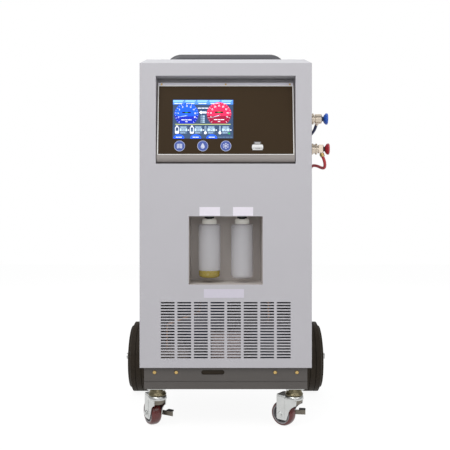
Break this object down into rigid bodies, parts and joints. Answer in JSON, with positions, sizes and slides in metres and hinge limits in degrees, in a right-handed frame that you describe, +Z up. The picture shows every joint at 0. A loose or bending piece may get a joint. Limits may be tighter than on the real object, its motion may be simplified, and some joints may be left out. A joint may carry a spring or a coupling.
{
  "type": "air conditioning recharge station",
  "caption": "Wheeled sheet-metal cabinet that recovers and recharges vehicle air-conditioning refrigerant, with tilted touch console, oil bottle niche and two hoses with couplers.",
  "frame": {"origin": "centre of the footprint on the floor", "axes": "+Z up, +Y towards the rear, away from the control console, +X to the right seen from the front"},
  "size_m": [0.7416, 0.586, 1.274],
  "materials": {
    "cabinet_paint": "satin",
    "cover_paint": "satin",
    "chassis_paint": "satin",
    "niche_paint": "satin",
    "console_grey": "satin",
    "panel_black": "gloss",
    "screen": "gloss",
    "handle_grey": "satin",
    "brass": "satin",
    "steel": "satin",
    "zinc": "bright",
    "nickel": "bright",
    "tyre_rubber": "matt",
    "hub_plastic": "satin",
    "maroon_tread": "satin",
    "core_grey": "matt",
    "blue_knob": "gloss",
    "red_knob": "gloss",
    "blue_hose": "satin",
    "red_hose": "satin",
    "bottle_white": "satin",
    "cap_white": "satin",
    "oil_amber": "gloss",
    "black_plastic": "satin",
    "tank_blue": "satin",
    "pump_taupe": "satin",
    "separator_paint": "satin",
    "compressor_paint": "satin",
    "aluminium": "satin",
    "board_green": "satin",
    "copper": "bright"
  },
  "bodies": {
    "cabinet": {"base_chassis": "chassis_paint", "bottle_niche": "niche_paint", "caster_head_left": "zinc", "caster_head_right": "zinc", "compressor": "compressor_paint", "condenser": "aluminium", "console_housing": "console_grey", "control_board": "board_green", "control_panel": "panel_black", "copper_pipes": "copper", "fan_frame": "black_plastic", "filter_drier": "compressor_paint", "front_panel": "cabinet_paint", "handle_clamps": "handle_grey", "high_coupler_body": "nickel", "high_hose": "red_hose", "high_hose_coil": "red_hose", "hose_fittings": "brass", "left_side_panel": "cabinet_paint", "low_coupler_body": "nickel", "low_hose": "blue_hose", "low_hose_coil": "blue_hose", "mounting_plate": "steel", "oil_separator": "separator_paint", "panel_screws": "brass", "parking_ports": "nickel", "power_inlet": "black_plastic", "push_handle": "handle_grey", "rear_axle": "steel", "rear_panel": "cabinet_paint", "refrigerant_tank": "tank_blue", "right_side_panel": "cabinet_paint", "scale_platform": "steel", "top_cover": "cover_paint", "touch_screen": "screen", "vacuum_pump": "pump_taupe", "valve_manifold": "aluminium"},
    "caster_left": {"caster_fork_left": "zinc"},
    "caster_wheel_left": {"caster_tread_left": "maroon_tread", "caster_core_left": "core_grey"},
    "brake_left": {"brake_pedal_left": "zinc"},
    "caster_right": {"caster_fork_right": "zinc"},
    "caster_wheel_right": {"caster_tread_right": "maroon_tread", "caster_core_right": "core_grey"},
    "brake_right": {"brake_pedal_right": "zinc"},
    "rear_wheel_left": {"rear_tyre_left": "tyre_rubber", "rear_hub_left": "hub_plastic"},
    "rear_wheel_right": {"rear_tyre_right": "tyre_rubber", "rear_hub_right": "hub_plastic"},
    "low_sleeve": {"low_coupler_sleeve": "nickel"},
    "high_sleeve": {"high_coupler_sleeve": "nickel"},
    "low_knob": {"low_coupler_knob": "blue_knob"},
    "high_knob": {"high_coupler_knob": "red_knob"},
    "used_oil_unit": {"used_oil_bottle": "bottle_white", "used_oil_cap": "cap_white", "used_oil": "oil_amber"},
    "new_oil_unit": {"new_oil_bottle": "bottle_white", "new_oil_cap": "cap_white"},
    "switch": {"power_switch": "black_plastic"},
    "fan": {"fan_rotor": "black_plastic"}
  },
  "joints": [
    {"name": "caster_left_swivel", "type": "hinge", "parent": "cabinet", "child": "caster_left", "pos_m": [-0.211, -0.245, 0.11], "axis": [0, 0, 1], "continuous": true},
    {"name": "caster_wheel_left_spin", "type": "hinge", "parent": "caster_left", "child": "caster_wheel_left", "pos_m": [-0.23, -0.21209, 0.0381], "axis": [0.866, 0.5, 0], "continuous": true},
    {"name": "brake_left_press", "type": "hinge", "parent": "caster_left", "child": "brake_left", "pos_m": [-0.23, -0.21209, 0.0381], "axis": [0.866, 0.5, 0], "range_deg": [0, 18]},
    {"name": "caster_right_swivel", "type": "hinge", "parent": "cabinet", "child": "caster_right", "pos_m": [0.211, -0.245, 0.11], "axis": [0, 0, 1], "continuous": true},
    {"name": "caster_wheel_right_spin", "type": "hinge", "parent": "caster_right", "child": "caster_wheel_right", "pos_m": [0.18106, -0.2216, 0.0381], "axis": [0.6157, 0.788, 0], "continuous": true},
    {"name": "brake_right_press", "type": "hinge", "parent": "caster_right", "child": "brake_right", "pos_m": [0.18106, -0.2216, 0.0381], "axis": [0.6157, 0.788, 0], "range_deg": [0, 18]},
    {"name": "rear_wheel_left_spin", "type": "hinge", "parent": "cabinet", "child": "rear_wheel_left", "pos_m": [-0.3115, 0.166, 0.127], "axis": [1, 0, 0], "continuous": true},
    {"name": "rear_wheel_right_spin", "type": "hinge", "parent": "cabinet", "child": "rear_wheel_right", "pos_m": [0.3115, 0.166, 0.127], "axis": [1, 0, 0], "continuous": true},
    {"name": "low_sleeve_pull", "type": "slide", "parent": "cabinet", "child": "low_sleeve", "axis": [1, 0, 0], "range_m": [0, 0.005], "stiffness_N_per_m": 1500, "springref_m": -0.004},
    {"name": "low_knob_turn", "type": "hinge", "parent": "cabinet", "child": "low_knob", "pos_m": [0.3, -0.14, 0.969], "axis": [1, 0, 0], "range_deg": [0, 540]},
    {"name": "high_sleeve_pull", "type": "slide", "parent": "cabinet", "child": "high_sleeve", "axis": [1, 0, 0], "range_m": [0, 0.005], "stiffness_N_per_m": 1500, "springref_m": -0.004},
    {"name": "high_knob_turn", "type": "hinge", "parent": "cabinet", "child": "high_knob", "pos_m": [0.3, -0.14, 0.871], "axis": [1, 0, 0], "range_deg": [0, 540]},
    {"name": "used_oil_slide_out", "type": "slide", "parent": "cabinet", "child": "used_oil_unit", "axis": [0, -1, 0], "range_m": [0, 0.11]},
    {"name": "new_oil_slide_out", "type": "slide", "parent": "cabinet", "child": "new_oil_unit", "axis": [0, -1, 0], "range_m": [0, 0.11]},
    {"name": "power_switch_tilt", "type": "hinge", "parent": "cabinet", "child": "switch", "pos_m": [-0.165, 0.2005, 0.316], "axis": [1, 0, 0], "range_deg": [-8, 8]},
    {"name": "fan_spin", "type": "hinge", "parent": "cabinet", "child": "fan", "pos_m": [0.142, 0.18, 0.284], "axis": [0, 1, 0], "continuous": true}
  ]
}
